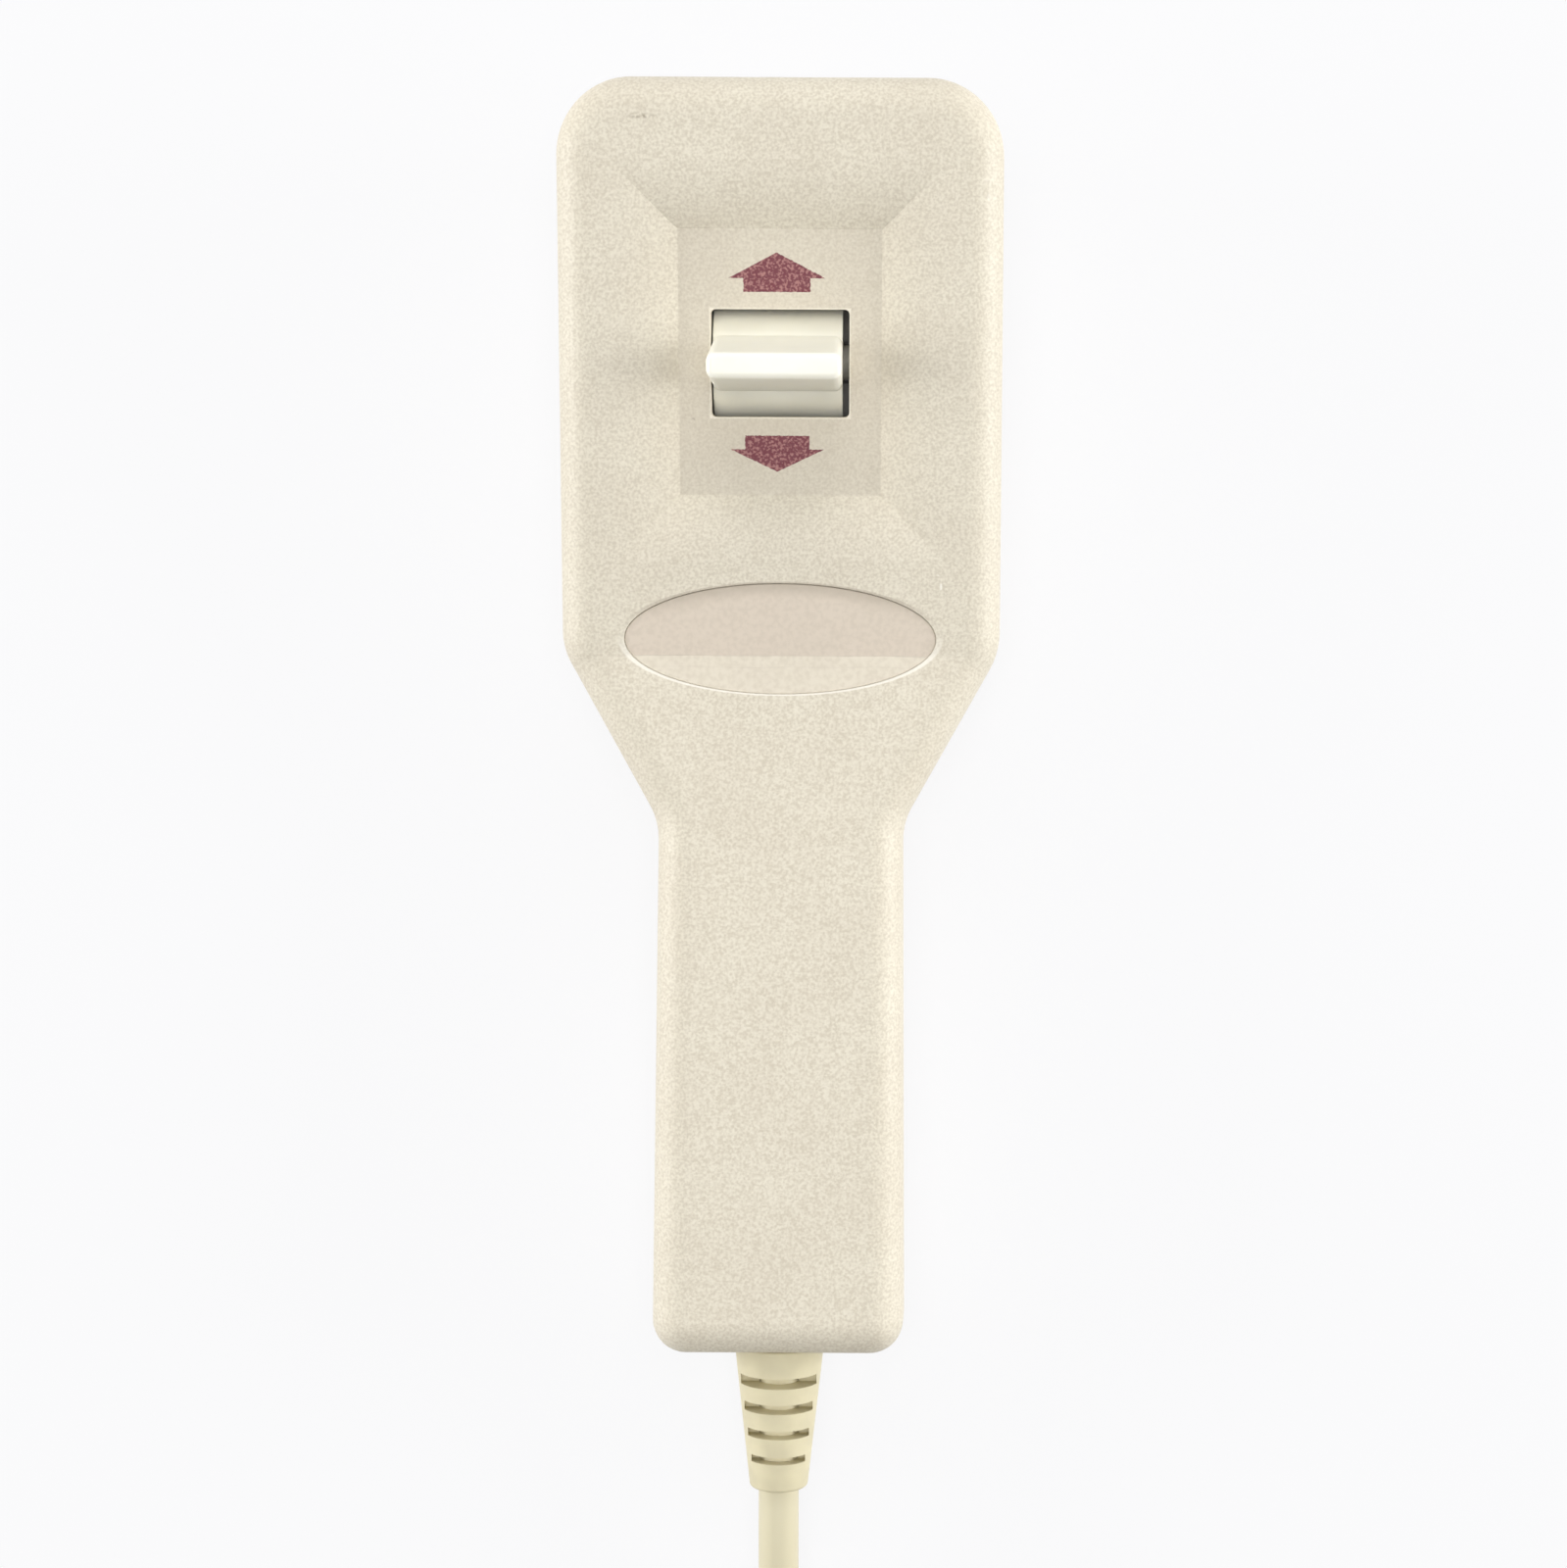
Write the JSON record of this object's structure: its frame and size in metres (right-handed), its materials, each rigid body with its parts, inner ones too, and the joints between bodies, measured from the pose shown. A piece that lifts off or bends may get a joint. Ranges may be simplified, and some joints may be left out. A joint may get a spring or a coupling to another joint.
{
  "type": "lift chair hand control",
  "caption": "Wired hand control for a lift chair: bent housing with a dished field, sprung rocker lever for up and down, strain relief, cord and round plug.",
  "frame": {"origin": "middle of the housing in X and Y, on the plane that its flat back lies on", "axes": "+X to the right seen from the front, +Y towards the top of the head, +Z out of the front face"},
  "size_m": [0.0855, 0.3104, 0.0407],
  "materials": {
    "housing": "fine grained moulded surface, cream",
    "label": "satin film, pinkish cream",
    "rocker": "smooth moulded surface, cream",
    "pin": "bright drawn steel",
    "screw": "zinc plated",
    "carrier": "plain moulded, off white",
    "board": "green laminate",
    "switch": "moulded black",
    "plunger": "moulded red",
    "relief": "flexible moulding, yellowish cream",
    "cord": "smooth flexible jacket, cream",
    "tie": "plain black band",
    "plug": "moulded black grip",
    "plated": "nickel plated",
    "insert": "moulded black",
    "wire_red": "insulated wire",
    "wire_black": "insulated wire",
    "wire_white": "insulated wire",
    "wire_green": "insulated wire",
    "wire_blue": "insulated wire"
  },
  "bodies": {
    "housing": {"front_shell": "housing", "back_shell": "housing", "oval_label": "label", "housing_screws": "screw", "rocker_pin": "pin", "switch_carrier": "carrier", "carrier_screws": "screw", "circuit_board": "board", "strain_relief": "relief", "cord_clamp": "carrier", "clamp_screws": "screw", "cord_lead": "cord", "cord_coil": "cord", "coil_tie": "tie", "plug_grip": "plug", "plug_sleeve": "plated", "plug_insert": "insert", "raise_switch_case": "switch", "raise_terminal_common": "plated", "raise_terminal_closed": "plated", "raise_terminal_open": "plated", "lower_switch_case": "switch", "lower_terminal_common": "plated", "lower_terminal_closed": "plated", "lower_terminal_open": "plated", "wire_red": "wire_red", "wire_black": "wire_black", "wire_white": "wire_white", "wire_green": "wire_green", "wire_blue": "wire_blue", "plug_pin_1": "plated", "plug_pin_2": "plated", "plug_pin_3": "plated", "plug_pin_4": "plated", "plug_pin_5": "plated"},
    "rocker": {"rocker": "rocker"},
    "raise_plunger": {"raise_switch_plunger": "plunger"},
    "lower_plunger": {"lower_switch_plunger": "plunger"}
  },
  "joints": [
    {"name": "rocker_hinge", "type": "hinge", "parent": "housing", "child": "rocker", "pos_m": [0, 0.04929, 0.01866], "axis": [1, 0, 0], "range_deg": [-11, 11], "stiffness_Nm_per_rad": 0.05},
    {"name": "raise_plunger_slide", "type": "slide", "parent": "housing", "child": "raise_plunger", "axis": [0, 0.9781, 0.2079], "range_m": [-0.0009, 0.0009]},
    {"name": "lower_plunger_slide", "type": "slide", "parent": "housing", "child": "lower_plunger", "axis": [0, 0.9781, 0.2079], "range_m": [-0.0009, 0.0009]}
  ],
  "couplings": [
    {"joint": "raise_plunger_slide", "follows": "rocker_hinge", "m_per_rad": 0.0045},
    {"joint": "lower_plunger_slide", "follows": "rocker_hinge", "m_per_rad": 0.0045}
  ]
}
